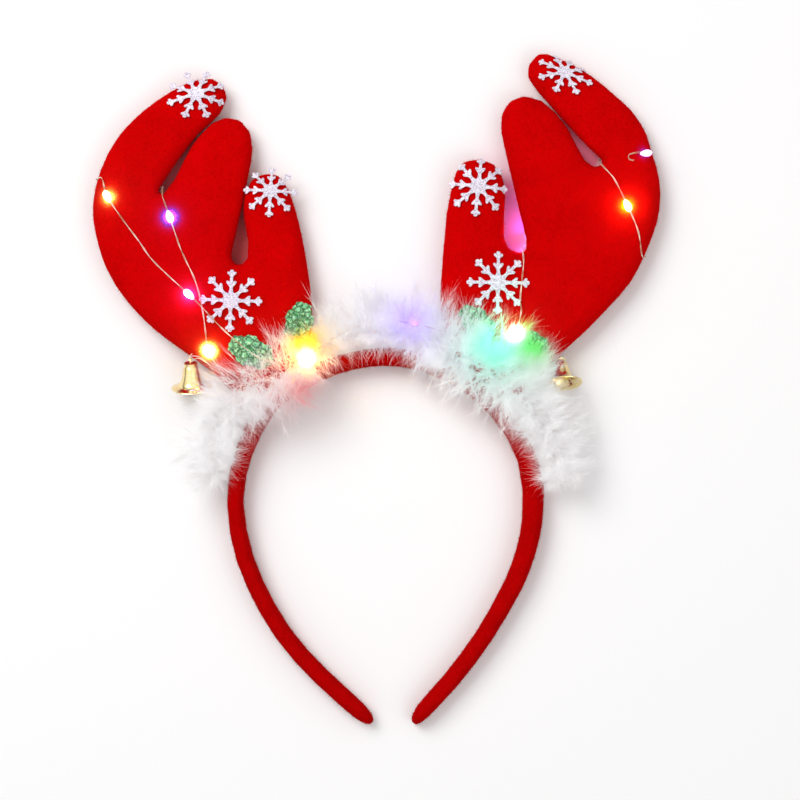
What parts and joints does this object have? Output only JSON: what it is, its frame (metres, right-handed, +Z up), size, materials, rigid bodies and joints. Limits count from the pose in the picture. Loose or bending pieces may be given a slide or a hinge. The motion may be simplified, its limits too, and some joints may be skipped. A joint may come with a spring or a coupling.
{
  "type": "reindeer antler headband",
  "caption": "Velvet alice band with padded reindeer antlers, marabou feather trim, glitter snowflakes, holly leaves, small bells and a winding string of tiny lights, lying flat",
  "frame": {"origin": "centre of the bounding box in plan, on the table that the headband lies on", "axes": "+Y from the band's open ends to the antler tips, +Z up from the table out of the trimmed front, +X to the right as seen from the front"},
  "size_m": [0.2558, 0.3031, 0.0401],
  "materials": {
    "velvet": "short red pile",
    "feather": "white marabou down",
    "glitter_white": "white glitter",
    "glitter_green": "green glitter",
    "gold": "polished gold colour",
    "wire": "thin enamelled copper wire",
    "bead_yellow": "clear resin over a lit yellow diode",
    "bead_orange": "clear resin over a lit orange diode",
    "bead_violet": "clear resin over a lit violet diode",
    "bead_magenta": "clear resin over a lit magenta diode",
    "bead_green": "clear resin over a lit green diode"
  },
  "bodies": {
    "root": {"velvet_band": "velvet", "antler_left": "velvet", "antler_right": "velvet", "feather_trim": "feather", "snowflake_left_outer": "glitter_white", "snowflake_left_inner": "glitter_white", "snowflake_left_palm": "glitter_white", "snowflake_right_outer": "glitter_white", "snowflake_right_inner": "glitter_white", "snowflake_right_palm": "glitter_white", "holly_leaf_left_side": "glitter_green", "holly_leaf_left_upper": "glitter_green", "holly_leaf_right_upper": "glitter_green", "holly_leaf_right_side": "glitter_green", "bell_left": "gold", "bell_right": "gold", "light_wire": "wire", "light_01_yellow": "bead_yellow", "light_02_violet": "bead_violet", "light_03_yellow": "bead_yellow", "light_04_magenta": "bead_magenta", "light_05_yellow": "bead_yellow", "light_06_violet": "bead_violet", "light_07_green": "bead_green", "light_08_violet": "bead_violet", "light_09_orange": "bead_orange", "light_10_violet": "bead_violet"}
  },
  "joints": []
}
